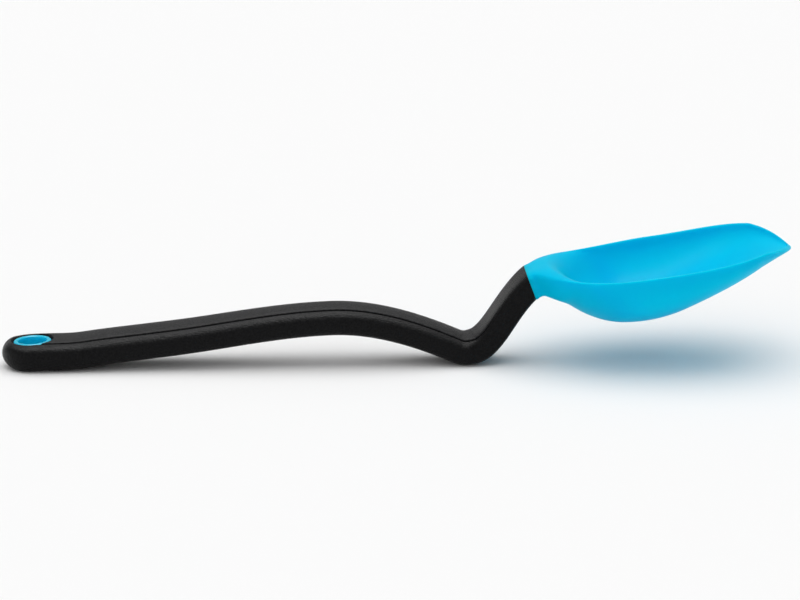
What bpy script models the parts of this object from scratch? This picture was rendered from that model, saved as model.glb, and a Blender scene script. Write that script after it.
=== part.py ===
"""Spoon spatula: an S-curved two-material handle that stands on its tail and on its bend,
and carries a deep silicone bowl clear of the bench.

X runs from the tail to the lip, Y across the handle, and Z up from the bench.
All sizes are in metres and all angles in degrees.
"""
import math

import bmesh
import bpy
import numpy as np
from mathutils import Matrix

# Clearance between neighbouring mouldings, and how far a cutter runs past the face that it opens
GAP = 0.0003
RUNOUT = 0.004

# Side line of the handle's sole: places along X from the tail end, heights and headings
TAIL_PLACE = 0.0090
HEEL_PLACE = 0.0300
GRIP_PLACE = 0.0720
CREST_PLACE = 0.1160
BEND_PLACE = 0.16335
NECK_PLACE = 0.1880
TAIL_HEIGHT = -0.0002
HEEL_HEIGHT = 0.00085
GRIP_HEIGHT = 0.0062
CREST_HEIGHT = 0.0113
NECK_HEIGHT = 0.0239
TAIL_HEADING = 4.0
HEEL_HEADING = 8.75
GRIP_HEADING = 8.55
CREST_HEADING = 1.5
DESCENT_HEADING = -23.5
RISE_HEADING = 43.0
NECK_HEADING = 45.0
BEND_RADIUS = 0.0138

# Handle sections at the tail, the grip, the crest, the bend and the neck
SECTION_GRIP_PLACE = 0.0500
SECTION_NECK_PLACE = 0.1780
TAIL_WIDTH = 0.0220
GRIP_WIDTH = 0.0205
CREST_WIDTH = 0.0189
BEND_WIDTH = 0.0193
NECK_WIDTH = 0.0174
TAIL_THICKNESS = 0.0105
GRIP_THICKNESS = 0.0108
CREST_THICKNESS = 0.01055
BEND_THICKNESS = 0.0104
NECK_THICKNESS = 0.00915
TAIL_BAND = 0.0137
GRIP_BAND = 0.0135
CREST_BAND = 0.0121
BEND_BAND = 0.0137
NECK_BAND = 0.0152
TAIL_TOP_ROUND = 0.0050
TAIL_SOLE_ROUND = 0.0079

# Squareness of the sections' corners, where 2 is an ellipse and 6 is nearly a box
TAIL_TOP_POWER = 3.4
GRIP_TOP_POWER = 2.3
NECK_TOP_POWER = 5.5
GRIP_UNDER_POWER = 3.1
NECK_UNDER_POWER = 6.0
WIDEST_SHARE = 0.42

# Height over the bend's lowest point of the two flat lands that the handle stands on
LAND_DEPTH = 0.0002
BENCH_DEPTH = 0.010

# Groove between the core's band and the grip
GROOVE_BEVEL = 0.0003
NECK_GROOVE_BEVEL = 0.0001
GROOVE_FADE_START = 0.1760
GROOVE_FADE_END = 0.1850

# Core inside the grip, and its tongue inside the head
CORE_START = 0.0040
CORE_DEPTH = 0.0058
CORE_ROOT_SHARE = 0.72
CORE_CORNER = 0.0008
TONGUE_LENGTH = 0.0125
TONGUE_WIDTH = 0.0110
TONGUE_THICKNESS = 0.0036
TONGUE_TIP_WIDTH = 0.0090
TONGUE_TIP_THICKNESS = 0.0022
TONGUE_HEADING = -9.0
TONGUE_TURN_SHARE = 0.3

# Hang eyelet
EYELET_SETBACK = 0.0108
EYELET_BORE = 0.0102
EYELET_DIAMETER = 0.0133
EYELET_EDGE = 0.0004
EYELET_SINK = 0.00055
EYELET_SOLE_SINK = 0.0018
SOLE_BORE = 0.0097

# Slanted joint between the handle and the head
JOINT_TILT = 20.7
JOINT_BLEND = 0.009

# Head in plan: places along X from the top of the joint
HEAD_LENGTH = 0.0945
HEAD_WIDTH = 0.0592
WIDEST_PLACE = 0.0477
HEEL_LENGTH = 0.0464
LIP_PLACE = 0.0823
TOE_POWER = 4.2
TOE_ROUND = 1.25
TOE_BLUNTNESS = 0.04
NECK_MERGE = 4.0
SHOULDER_REACH = 0.0100
RIM_WIDTH = 0.0012
RIM_ROUND = 0.0005
RIM_SHARES = (0.12, 0.5)
CREST_RADIUS = 0.0278

# Deck, the line that the rim lies on: heights over the top of the joint
DECK_CREST_PLACE = 0.0075
DECK_CREST_HEIGHT = 0.0024
DECK_HEEL_PLACE = 0.0164
DECK_HEEL_HEIGHT = 0.0014
DECK_WAIST_PLACE = 0.0480
DECK_WAIST_HEIGHT = 0.0049
DECK_LIP_HEIGHT = 0.0110
DECK_NECK_HEADING = 30.0
DECK_CREST_HEADING = 7.5
DECK_WAIST_HEADING = 7.6
DECK_LIP_HEADING = 10.2
LIP_DIP = 0.0056

# Keel, the lowest line of the outside: depths under the top of the joint
KEEL_ARCH_PLACE = 0.0069
KEEL_ARCH_DEPTH = 0.0078
KEEL_HEEL_PLACE = 0.0181
KEEL_HEEL_DEPTH = 0.0135
KEEL_LOW_PLACE = 0.0345
KEEL_LOW_DEPTH = 0.0182
KEEL_TOE_PLACE = 0.0558
KEEL_TOE_DEPTH = 0.0134
KEEL_LIP_PLACE = 0.0805
KEEL_LIP_HEIGHT = 0.0007
KEEL_NECK_HEADING = 20.0
KEEL_ARCH_HEADING = -7.0
KEEL_HEEL_HEADING = -29.8
KEEL_TOE_HEADING = 26.1
KEEL_LIP_HEADING = 33.5
KEEL_END_HEADING = 8.0
LIP_THICKNESS = 0.0007

# Walls under the bowl's floor, measured down from the floor to the keel
HEEL_WALL = 0.0060
LOW_WALL = 0.0026
TOE_WALL = 0.0025
LIP_WALL = 0.0019
FLOOR_HEEL_HEADING = -44.0
HEAD_UNDER_POWER = 2.0
BOWL_POWER = 2.3
SHOULDER_POWER = 2.5

# Mesh density
RING_POINTS = 32
BAND_POINTS = 7
BOWL_POINTS = 15
EYELET_SEGMENTS = 32
TAIL_RINGS = 8
NECK_RINGS = 12
BOWL_RINGS = 13
TOE_RINGS = 10
STATION_SPACING = 0.006
STATION_TURN = 7.0

# The grip's cuts meet in slivers that Blender's default solver leaves open
GRIP_SOLVER = "MANIFOLD"


def make_material(name, rgb, roughness):
    """A Principled material of one colour, with no metal in it."""
    made = bpy.data.materials.new(name)
    made.use_nodes = True
    shader = made.node_tree.nodes["Principled BSDF"]
    shader.inputs["Base Color"].default_value = (*rgb, 1.0)
    shader.inputs["Roughness"].default_value = roughness
    shader.inputs["Metallic"].default_value = 0.0
    made.diffuse_color = (*rgb, 1.0)
    return made


def curve_through(knots, steps=24):
    """Points of a smooth line in the XZ plane through (x, z, heading) knots, round where it can be."""
    pieces = []
    for (x0, z0, a0), (x1, z1, a1) in zip(knots[:-1], knots[1:]):
        a0, a1 = math.radians(a0), math.radians(a1)
        pull = math.hypot(x1 - x0, z1 - z0) / 3.0 * (1.0 + (a1 - a0) ** 2 / 16.0)
        controls = np.array([
            (x0, z0),
            (x0 + pull * math.cos(a0), z0 + pull * math.sin(a0)),
            (x1 - pull * math.cos(a1), z1 - pull * math.sin(a1)),
            (x1, z1),
        ])
        t = np.linspace(0.0, 1.0, steps)[:, None]
        weights = np.hstack([(1 - t) ** 3, 3 * (1 - t) ** 2 * t, 3 * (1 - t) * t ** 2, t ** 3])
        pieces.append((weights @ controls)[1 if pieces else 0:])
    return np.vstack(pieces)


def height_on(line, x):
    """Height of a line from curve_through at a place along X."""
    return float(np.interp(x, line[:, 0], line[:, 1]))


def eased(x, places, values):
    """Values given at a few places, joined by smooth steps."""
    left = int(np.clip(np.searchsorted(places, x) - 1, 0, len(places) - 2))
    share = (x - places[left]) / (places[left + 1] - places[left])
    share = min(max(share, 0.0), 1.0)
    share = share * share * (3.0 - 2.0 * share)
    return values[left] + (values[left + 1] - values[left]) * share


def bulge(share, power):
    """Height of a superellipse of unit height, at a share of its half width."""
    return (1.0 - min(abs(share), 1.0) ** power) ** (1.0 / power)


def superellipse(turn, half, height, power):
    """Point of a superellipse at an angle, as its distance across and its height."""
    side, lift = math.cos(turn), math.sin(turn)
    across = half * math.copysign(abs(side) ** (2.0 / power), side)
    return across, height * math.copysign(abs(lift) ** (2.0 / power), lift)


def loft(name, rings, start=None, end=None):
    """A closed mesh through rings of equal count, each end closed by a point or by a flat cap."""
    work = bmesh.new()
    rows = [[work.verts.new(point) for point in ring] for ring in rings]
    count = len(rows[0])
    for row, following in zip(rows[:-1], rows[1:]):
        for k in range(count):
            work.faces.new((row[k], row[(k + 1) % count], following[(k + 1) % count], following[k]))
    for row, tip in ((rows[0], start), (rows[-1], end)):
        if tip is None:
            work.faces.new(row)
        else:
            pole = work.verts.new(tip)
            for k in range(count):
                work.faces.new((row[k], row[(k + 1) % count], pole))
    bmesh.ops.remove_doubles(work, verts=work.verts, dist=0.00002)
    bmesh.ops.recalc_face_normals(work, faces=work.faces)
    mesh = bpy.data.meshes.new(name)
    work.to_mesh(mesh)
    work.free()
    return mesh


def add_piece(name, mesh, look, collection, root):
    """A visible piece, smooth except at its edges."""
    made = bpy.data.objects.new(name, mesh)
    collection.objects.link(made)
    made.parent = root
    mesh.materials.append(look)
    mesh.shade_smooth()
    mesh.set_sharp_from_angle(angle=math.radians(40.0))
    return made


def add_cutter(name, mesh, collection, root):
    """A hidden object that only cuts others."""
    made = bpy.data.objects.new(name, mesh)
    collection.objects.link(made)
    made.parent = root
    made.hide_render = True
    made.display_type = "WIRE"
    return made


def cut(target, cutter, solver="EXACT"):
    """Takes the cutter's volume out of the target."""
    boolean = target.modifiers.new("cut_" + cutter.name, "BOOLEAN")
    boolean.operation = "DIFFERENCE"
    boolean.solver = solver
    boolean.object = cutter


def arc_point(radius, heading):
    """Point of the bend's arc where it has a heading, measured along X from its lowest place."""
    turn = math.radians(heading)
    return BEND_PLACE + radius * math.sin(turn), radius * (1.0 - math.cos(turn)), heading


def sole_line():
    """The sole's points, headings, section tilts and travelled distances from the tail to the neck."""
    line = curve_through([
        (TAIL_PLACE, TAIL_HEIGHT, TAIL_HEADING),
        (HEEL_PLACE, HEEL_HEIGHT, HEEL_HEADING),
        (GRIP_PLACE, GRIP_HEIGHT, GRIP_HEADING),
        (CREST_PLACE, CREST_HEIGHT, CREST_HEADING),
        arc_point(BEND_RADIUS, DESCENT_HEADING),
        (BEND_PLACE, 0.0, 0.0),
        arc_point(BEND_RADIUS, RISE_HEADING),
        (NECK_PLACE, NECK_HEIGHT, NECK_HEADING),
    ])
    line = np.vstack([(0.0, TAIL_HEIGHT - TAIL_PLACE * math.tan(math.radians(TAIL_HEADING))), line])
    step = np.gradient(line, axis=0)
    heading = np.arctan2(step[:, 1], step[:, 0])
    travel = np.concatenate([[0.0], np.cumsum(np.hypot(*np.diff(line, axis=0).T))])
    blend = np.clip((travel - travel[-1]) / JOINT_BLEND + 1.0, 0.0, 1.0)
    blend = blend * blend * (3.0 - 2.0 * blend)
    tilt = heading + (math.radians(JOINT_TILT) - heading) * blend
    return line, heading, tilt, travel


SOLE, HEADING, TILT, TRAVEL = sole_line()
HANDLE_END = float(TRAVEL[-1])


def station(travel):
    """Frame and sizes of the handle's section at a distance along the sole."""
    x = float(np.interp(travel, TRAVEL, SOLE[:, 0]))
    z = float(np.interp(travel, TRAVEL, SOLE[:, 1]))
    heading = float(np.interp(travel, TRAVEL, HEADING))
    tilt = float(np.interp(travel, TRAVEL, TILT))
    places = (TAIL_PLACE, SECTION_GRIP_PLACE, CREST_PLACE, BEND_PLACE, SECTION_NECK_PLACE)
    thickness = (TAIL_THICKNESS, GRIP_THICKNESS, CREST_THICKNESS, BEND_THICKNESS, NECK_THICKNESS)
    tall = eased(x, places, thickness) / math.cos(tilt - heading)
    up = np.array([-math.sin(tilt), 0.0, math.cos(tilt)])
    ends = (BEND_PLACE, SECTION_NECK_PLACE)
    return {
        "up": up,
        "widest": np.array([x, 0.0, z]) + up * tall * (1.0 - WIDEST_SHARE),
        "crown": tall * WIDEST_SHARE,
        "belly": tall * (1.0 - WIDEST_SHARE),
        "half": 0.5 * eased(x, places, (TAIL_WIDTH, GRIP_WIDTH, CREST_WIDTH, BEND_WIDTH, NECK_WIDTH)),
        "band": 0.5 * eased(x, places, (TAIL_BAND, GRIP_BAND, CREST_BAND, BEND_BAND, NECK_BAND)),
        "top_power": eased(x, places, (TAIL_TOP_POWER, GRIP_TOP_POWER, GRIP_TOP_POWER, GRIP_TOP_POWER,
                                       NECK_TOP_POWER)),
        "under_power": eased(x, ends, (GRIP_UNDER_POWER, NECK_UNDER_POWER)),
        "bevel": eased(x, (GROOVE_FADE_START, GROOVE_FADE_END), (GROOVE_BEVEL, NECK_GROOVE_BEVEL)),
    }


def joint_runout():
    """Step square to the joint's plane, for cutters that run past it."""
    tilt = math.radians(JOINT_TILT)
    return RUNOUT * np.array([math.cos(tilt), 0.0, math.sin(tilt)])


def place_outline(at, outline):
    """Points in space of an outline given across and above the widest line."""
    return [at["widest"] + at["up"] * h + np.array([0.0, y, 0.0]) for y, h in outline]


def crown_at(at, y):
    """Height of the handle's skin over its widest line."""
    return at["crown"] * bulge(y / at["half"], at["top_power"])


def round_end(travel, radius):
    """Share of the full size that a section has near the tail end, on a quarter circle."""
    return math.sqrt(1.0 - (1.0 - min(travel / radius, 1.0)) ** 2)


def skin_ring(travel):
    """Outer outline of the handle, drawn in at the round tail end."""
    at = station(travel)
    half = at["half"] * round_end(travel, TAIL_WIDTH * 0.5)
    crown = at["crown"] * round_end(travel, TAIL_TOP_ROUND)
    belly = at["belly"] * round_end(travel, TAIL_SOLE_ROUND)
    turns = [2.0 * math.pi * k / RING_POINTS for k in range(RING_POINTS)]
    outline = [superellipse(turn, half, crown, at["top_power"]) for turn in turns if turn < math.pi]
    outline += [superellipse(turn, half, belly, at["under_power"]) for turn in turns if turn >= math.pi]
    return place_outline(at, outline)


def core_ring(travel):
    """Outline of the core: crowned band, bevelled edges, tapering flanks and flat root."""
    at = station(travel)
    half = at["band"] - GAP * 0.5
    shoulder = crown_at(at, half) - at["bevel"]
    root = half * CORE_ROOT_SHARE
    floor = at["crown"] - CORE_DEPTH
    across = np.linspace(half - at["bevel"], at["bevel"] - half, BAND_POINTS)
    outline = [(y, crown_at(at, y)) for y in across]
    outline += [(-half, shoulder), (-root, floor + CORE_CORNER), (CORE_CORNER - root, floor)]
    outline += [(root - CORE_CORNER, floor), (root, floor + CORE_CORNER), (half, shoulder)]
    return place_outline(at, outline)


def channel_ring(travel):
    """Outline that clears the core all round and opens the grip's top with bevelled edges."""
    at = station(travel)
    half = at["band"] + GAP * 0.5
    shoulder = crown_at(at, half) - at["bevel"]
    root = (at["band"] - GAP * 0.5) * CORE_ROOT_SHARE + GAP
    floor = at["crown"] - CORE_DEPTH - GAP
    reach = 4.0 * at["bevel"]
    right = [(root - CORE_CORNER, floor), (root, floor + CORE_CORNER), (half, shoulder)]
    right += [(half + reach, shoulder + reach), (half + reach, at["crown"] + 2.0 * reach)]
    return place_outline(at, right + [(-y, h) for y, h in reversed(right)])


def tongue_ring(share, spare):
    """Outline of the core's tongue at a share of its length, with some spare room round it."""
    at = station(HANDLE_END)
    heading = math.radians(TONGUE_HEADING)
    tilt = eased(share, (0.0, TONGUE_TURN_SHARE), (math.radians(JOINT_TILT), heading))
    root = at["widest"] + at["up"] * (at["crown"] - CORE_DEPTH * 0.5)
    along = TONGUE_LENGTH * share + (spare if share > 0.0 else 0.0)
    centre = root + along * np.array([math.cos(heading), 0.0, math.sin(heading)])
    up = np.array([-math.sin(tilt), 0.0, math.cos(tilt)])
    half = 0.5 * (TONGUE_WIDTH + (TONGUE_TIP_WIDTH - TONGUE_WIDTH) * share) + spare
    tall = 0.5 * (TONGUE_THICKNESS + (TONGUE_TIP_THICKNESS - TONGUE_THICKNESS) * share) + spare
    corner = CORE_CORNER
    outline = [(y, tall) for y in np.linspace(half - corner, corner - half, BAND_POINTS)]
    outline += [(-half, tall - corner), (-half, corner - tall), (corner - half, -tall)]
    outline += [(half - corner, -tall), (half, corner - tall), (half, tall - corner)]
    return [centre + up * h + np.array([0.0, y, 0.0]) for y, h in outline]


def half_width(x, inset=0.0):
    """Half width of the head in plan, or of a line that runs inside its edge."""
    widest = HEAD_WIDTH * 0.5 - inset
    if x > WIDEST_PLACE:
        toe = min((x - WIDEST_PLACE) / (HEAD_LENGTH - WIDEST_PLACE - inset), 1.0)
        left = 1.0 - toe ** TOE_POWER
        blunt = (left + TOE_BLUNTNESS) / (1.0 + TOE_BLUNTNESS)
        return widest * math.sqrt(left) * blunt ** (1.0 / TOE_ROUND - 0.5)
    heel = min((WIDEST_PLACE - x) / HEEL_LENGTH, 1.0)
    back = widest * math.sqrt(1.0 - heel ** 2)
    neck = NECK_WIDTH * 0.5 - inset
    return min((back ** NECK_MERGE + neck ** NECK_MERGE) ** (1.0 / NECK_MERGE), widest)


def head_lines():
    """The deck, keel and floor lines, measured from the top of the joint."""
    at = station(HANDLE_END)
    lean = -(at["crown"] + at["belly"]) * at["up"]
    rise = (HEAD_LENGTH - LIP_PLACE) * math.tan(math.radians(DECK_LIP_HEADING))
    deck = curve_through([
        (0.0, 0.0, DECK_NECK_HEADING),
        (DECK_CREST_PLACE, DECK_CREST_HEIGHT, DECK_CREST_HEADING),
        (DECK_HEEL_PLACE, DECK_HEEL_HEIGHT, 0.0),
        (DECK_WAIST_PLACE, DECK_WAIST_HEIGHT, DECK_WAIST_HEADING),
        (LIP_PLACE, DECK_LIP_HEIGHT, DECK_LIP_HEADING),
        (HEAD_LENGTH, DECK_LIP_HEIGHT + rise, DECK_LIP_HEADING),
    ])
    lip = DECK_LIP_HEIGHT + rise - LIP_DIP
    keel = curve_through([
        (lean[0], lean[2], KEEL_NECK_HEADING),
        (KEEL_ARCH_PLACE, -KEEL_ARCH_DEPTH, KEEL_ARCH_HEADING),
        (KEEL_HEEL_PLACE, -KEEL_HEEL_DEPTH, KEEL_HEEL_HEADING),
        (KEEL_LOW_PLACE, -KEEL_LOW_DEPTH, 0.0),
        (KEEL_TOE_PLACE, -KEEL_TOE_DEPTH, KEEL_TOE_HEADING),
        (KEEL_LIP_PLACE, KEEL_LIP_HEIGHT, KEEL_LIP_HEADING),
        (HEAD_LENGTH, lip - LIP_THICKNESS, KEEL_END_HEADING),
    ])
    floor = curve_through([
        (DECK_CREST_PLACE, DECK_CREST_HEIGHT, -DECK_CREST_HEADING),
        (KEEL_HEEL_PLACE, HEEL_WALL - KEEL_HEEL_DEPTH, FLOOR_HEEL_HEADING),
        (KEEL_LOW_PLACE, LOW_WALL - KEEL_LOW_DEPTH, 0.0),
        (KEEL_TOE_PLACE, TOE_WALL - KEEL_TOE_DEPTH, KEEL_TOE_HEADING),
        (KEEL_LIP_PLACE, LIP_WALL + KEEL_LIP_HEIGHT, KEEL_LIP_HEADING),
        (HEAD_LENGTH - RIM_WIDTH, lip, KEEL_END_HEADING),
    ])
    return deck, keel, floor, float(lean[0])


DECK, KEEL, FLOOR, LEAN = head_lines()


def deck_height(x):
    """Height of the deck, which dips towards the middle of the lip."""
    height = height_on(DECK, x)
    if x > LIP_PLACE:
        height -= LIP_DIP * (1.0 - half_width(x) / half_width(LIP_PLACE))
    return height


def bowl_depth(x, y, inner):
    """Depth of the bowl under the deck, whose back end is a round crest in plan."""
    bend = eased(x, (DECK_HEEL_PLACE, WIDEST_PLACE), (1.0, 0.0))
    back = x - bend * y * y / (2.0 * CREST_RADIUS)
    if back <= DECK_CREST_PLACE or back >= HEAD_LENGTH - RIM_WIDTH:
        return 0.0
    middle = deck_height(back) - height_on(FLOOR, back)
    return max(middle, 0.0) * bulge(y / max(inner, GAP), BOWL_POWER)


def head_ring(x):
    """Outline of the head: rim and bowl over the widest line, hull under it."""
    low = x + LEAN * eased(x, (0.0, DECK_HEEL_PLACE), (1.0, 0.0))
    top = np.array([x, 0.0, deck_height(x)])
    keel = np.array([low, 0.0, height_on(KEEL, low)])
    tall = float(np.linalg.norm(top - keel))
    up = (top - keel) / tall
    crown = min(eased(x, (0.0, DECK_HEEL_PLACE), (tall * WIDEST_SHARE, RIM_ROUND)), tall * 0.5)
    top_power = eased(x, (0.0, SHOULDER_REACH), (NECK_TOP_POWER, SHOULDER_POWER))
    under_power = eased(x, (0.0, DECK_HEEL_PLACE), (NECK_UNDER_POWER, HEAD_UNDER_POWER))
    half = half_width(x)
    inner = half_width(x, RIM_WIDTH) if x < HEAD_LENGTH - RIM_WIDTH else 0.0
    bowl = [inner * math.sin(turn) for turn in np.linspace(math.pi / 2, -math.pi / 2, BOWL_POINTS)]
    land = [half - (half - inner) * share for share in RIM_SHARES]
    across = [half] + land + bowl + [-y for y in reversed(land)] + [-half]
    outline = [(y, crown * bulge(y / half, top_power) - bowl_depth(x, y, inner)) for y in across]
    hull = np.linspace(math.pi, 2.0 * math.pi, BOWL_POINTS + 2)[1:-1]
    outline += [superellipse(turn, half, tall - crown, under_power) for turn in hull]
    middle = top - up * crown
    return [middle + up * h + np.array([0.0, y, 0.0]) for y, h in outline]


def head_stations():
    """Places of the head's rings: close at the neck and at the toe, wide between."""
    neck = np.linspace(GAP, DECK_HEEL_PLACE, NECK_RINGS, endpoint=False)
    bowl = np.linspace(DECK_HEEL_PLACE, LIP_PLACE, BOWL_RINGS, endpoint=False)
    sweep = np.sin(np.linspace(0.0, math.pi / 2, TOE_RINGS, endpoint=False))
    toe = LIP_PLACE + (HEAD_LENGTH - LIP_PLACE) * sweep
    return [float(x) for x in np.concatenate([neck, bowl, toe])]


def handle_stations():
    """Distances along the sole past the round tail end, closer where the sole turns fast."""
    turn = np.concatenate([[0.0], np.cumsum(np.abs(np.diff(TILT)))])
    effort = TRAVEL / STATION_SPACING + turn / math.radians(STATION_TURN)
    first, last = np.interp((TAIL_WIDTH * 0.5, HANDLE_END), TRAVEL, effort)
    count = int(round(last - first)) + 1
    return [float(t) for t in np.interp(np.linspace(first, last, count), effort, TRAVEL)]


def stations_from(start):
    """The handle's stations past a start, led by the start itself."""
    return [start] + [t for t in handle_stations() if t > start + 0.5 * STATION_SPACING]


def build_grip(looks, collection, cutters, root):
    """The soft grip: sides and sole of the handle, open along the top for the core."""
    radius = TAIL_WIDTH * 0.5
    sweep = 1.0 - np.cos(np.linspace(0.0, math.pi / 2, TAIL_RINGS + 1))
    tail = [float(radius * s) for s in sweep[1:]]
    travels = tail + handle_stations()[1:]
    tip = station(0.0)["widest"]
    grip = add_piece("grip", loft("grip", [skin_ring(t) for t in travels], start=tip), looks["grip"],
                     collection, root)
    rings = [channel_ring(t) for t in stations_from(EYELET_SETBACK + CORE_START - GAP)]
    rings.append([point + joint_runout() for point in rings[-1]])
    cut(grip, add_cutter("core_channel", loft("core_channel", rings), cutters, root), GRIP_SOLVER)
    return grip


def build_core(looks, collection, root):
    """The stiff core: its band shows on top of the handle and its tongue holds the head."""
    rings = [core_ring(t) for t in stations_from(EYELET_SETBACK + CORE_START)]
    rings += [tongue_ring(share, 0.0) for share in (0.0, TONGUE_TURN_SHARE, 1.0)]
    return add_piece("core", loft("core", rings), looks["core"], collection, root)


def build_head(looks, collection, cutters, root):
    """The silicone head: neck, bowl, rim and lip in one moulding, with a pocket for the tongue."""
    rings = [head_ring(x) for x in head_stations()]
    lip = np.array([HEAD_LENGTH, 0.0, deck_height(HEAD_LENGTH) - LIP_THICKNESS * 0.5])
    head = add_piece("spoon_head", loft("spoon_head", rings, end=lip), looks["head"], collection, root)
    at = station(HANDLE_END)
    joint = at["widest"] + at["up"] * at["crown"]
    head.location = joint
    pocket = [tongue_ring(share, GAP) for share in (0.0, TONGUE_TURN_SHARE, 1.0)]
    pocket.insert(0, [point - joint_runout() for point in pocket[0]])
    cut(head, add_cutter("tongue_pocket", loft("tongue_pocket", pocket), cutters, root))
    return head


def drill(name, radius, floor, top):
    """A cylinder between two heights, turned half a step so that no edge lies on the middle plane."""
    work = bmesh.new()
    half_step = Matrix.Rotation(math.pi / EYELET_SEGMENTS, 4, "Z")
    bmesh.ops.create_cone(work, cap_ends=True, segments=EYELET_SEGMENTS, radius1=radius,
                          radius2=radius, depth=top - floor, matrix=half_step)
    bmesh.ops.translate(work, vec=(0.0, 0.0, 0.5 * (top + floor)), verts=work.verts)
    mesh = bpy.data.meshes.new(name)
    work.to_mesh(mesh)
    work.free()
    return mesh


def build_eyelet(looks, collection, cutters, root, holed):
    """The ring that lines the hang hole, turned as a closed profile, and the seat and bore cut for it."""
    at = station(EYELET_SETBACK)
    top = at["crown"] - EYELET_SINK
    bottom = EYELET_SOLE_SINK - at["belly"]
    outer, inner, edge = EYELET_DIAMETER * 0.5, EYELET_BORE * 0.5, EYELET_EDGE
    profile = [(outer - edge, top), (outer, top - edge), (outer, bottom + edge), (outer - edge, bottom)]
    profile += [(inner + edge, bottom), (inner, bottom + edge), (inner, top - edge), (inner + edge, top)]
    mesh = bpy.data.meshes.new("hang_eyelet")
    count = len(profile)
    mesh.from_pydata([(r, 0.0, z) for r, z in profile], [(k, (k + 1) % count) for k in range(count)], [])
    eyelet = add_piece("hang_eyelet", mesh, looks["head"], collection, root)
    screw = eyelet.modifiers.new("turn", "SCREW")
    screw.steps = EYELET_SEGMENTS
    screw.render_steps = EYELET_SEGMENTS
    screw.use_merge_vertices = True
    screw.merge_threshold = 0.00002
    tilt = math.atan2(-at["up"][0], at["up"][2])
    eyelet.location = at["widest"]
    eyelet.rotation_euler = (0.0, -tilt, 0.0)

    for name, radius, floor in (("hang_seat", outer + GAP, bottom - GAP),
                                ("hang_bore", 0.5 * SOLE_BORE, -TAIL_THICKNESS)):
        hole = add_cutter(name, drill(name, radius, floor, TAIL_THICKNESS), cutters, root)
        hole.location = eyelet.location
        hole.rotation_euler = eyelet.rotation_euler
        for piece, solver in holed:
            cut(piece, hole, solver)
    return eyelet


def block(name, size, centre):
    """A box of a size about a centre."""
    work = bmesh.new()
    bmesh.ops.create_cube(work, size=1.0)
    bmesh.ops.scale(work, vec=size, verts=work.verts)
    bmesh.ops.translate(work, vec=centre, verts=work.verts)
    mesh = bpy.data.meshes.new(name)
    work.to_mesh(mesh)
    work.free()
    return mesh


def main():
    """Clears the scene, builds the pieces and stands them on the bench, centred along X."""
    for old in list(bpy.context.scene.objects):
        bpy.data.objects.remove(old, do_unlink=True)
    collection = bpy.data.collections.new("spoon_spatula")
    cutters = bpy.data.collections.new("cutters")
    bpy.context.scene.collection.children.link(collection)
    bpy.context.scene.collection.children.link(cutters)
    root = bpy.data.objects.new("spoon_spatula_base", None)
    collection.objects.link(root)
    looks = {
        "grip": make_material("black_grip", (0.012, 0.012, 0.013), 0.62),
        "core": make_material("black_nylon", (0.045, 0.045, 0.047), 0.55),
        "head": make_material("blue_silicone", (0.0, 0.42, 0.68), 0.38),
    }
    grip = build_grip(looks, collection, cutters, root)
    core = build_core(looks, collection, root)
    head = build_head(looks, collection, cutters, root)
    build_eyelet(looks, collection, cutters, root, ((grip, GRIP_SOLVER), (core, "EXACT")))

    size = (2.0 * HANDLE_END, 2.0 * TAIL_WIDTH, BENCH_DEPTH)
    centre = (0.5 * HANDLE_END, 0.0, LAND_DEPTH - 0.5 * BENCH_DEPTH)
    bench = add_cutter("bench", block("bench", size, centre), cutters, root)
    cut(grip, bench, GRIP_SOLVER)

    tail_end = float(station(0.0)["widest"][0])
    root.location = (-0.5 * (tail_end + head.location.x + HEAD_LENGTH), 0.0, -LAND_DEPTH)


main()
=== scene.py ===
# %% [markdown]
# # A spoon spatula that stands on its own handle
#
# The tool is four mouldings: a stiff spine whose top shows as a grey band, a soft black grip
# moulded round it, a blue silicone spoon, and a blue ring in the hang hole.
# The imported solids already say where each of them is. This lesson works out the fine surfaces
# as numpy grids, gives them their finishes, and sets up the bench, the light and the camera.
# Sizes are in millimetres and degrees, and become metres only where a mesh is made.

# %% The frame
import math
from types import SimpleNamespace

import bmesh
import bpy
import numpy as np
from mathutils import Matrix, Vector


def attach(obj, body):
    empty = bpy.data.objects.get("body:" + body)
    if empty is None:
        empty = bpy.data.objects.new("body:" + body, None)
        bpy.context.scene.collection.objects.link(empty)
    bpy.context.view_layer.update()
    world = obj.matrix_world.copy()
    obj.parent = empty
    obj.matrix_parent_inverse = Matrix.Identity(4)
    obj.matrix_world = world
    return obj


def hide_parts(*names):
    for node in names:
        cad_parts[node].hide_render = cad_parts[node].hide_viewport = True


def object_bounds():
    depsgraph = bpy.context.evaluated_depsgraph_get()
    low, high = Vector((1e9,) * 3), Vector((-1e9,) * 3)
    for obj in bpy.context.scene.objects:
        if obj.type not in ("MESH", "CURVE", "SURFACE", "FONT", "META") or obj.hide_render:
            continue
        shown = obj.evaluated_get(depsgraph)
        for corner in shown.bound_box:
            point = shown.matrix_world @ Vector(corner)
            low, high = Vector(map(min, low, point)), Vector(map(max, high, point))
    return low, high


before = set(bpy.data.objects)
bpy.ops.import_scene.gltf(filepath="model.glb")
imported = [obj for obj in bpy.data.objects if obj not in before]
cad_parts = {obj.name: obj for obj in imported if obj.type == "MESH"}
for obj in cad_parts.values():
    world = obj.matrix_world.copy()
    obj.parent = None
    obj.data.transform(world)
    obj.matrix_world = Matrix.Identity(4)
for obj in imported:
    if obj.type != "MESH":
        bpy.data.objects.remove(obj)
cad_box = [list(corner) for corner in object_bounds()]
MM = 0.001
print("nodes:", sorted(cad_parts))
print("box in mm:", np.round(np.array(cad_box) / MM, 2).tolist())

# %% [markdown]
# ## Tools for lines and outlines
#
# A designer draws a handle like this from its side, as one flowing line with a few places
# where its height and slope are known, and then hangs cross-sections on it. A Bezier curve
# object could be the line, but a formula on arrays lets every section, groove and edge read
# the same numbers, so that is what the next cells make.

# %% A smooth line through a few knots


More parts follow.
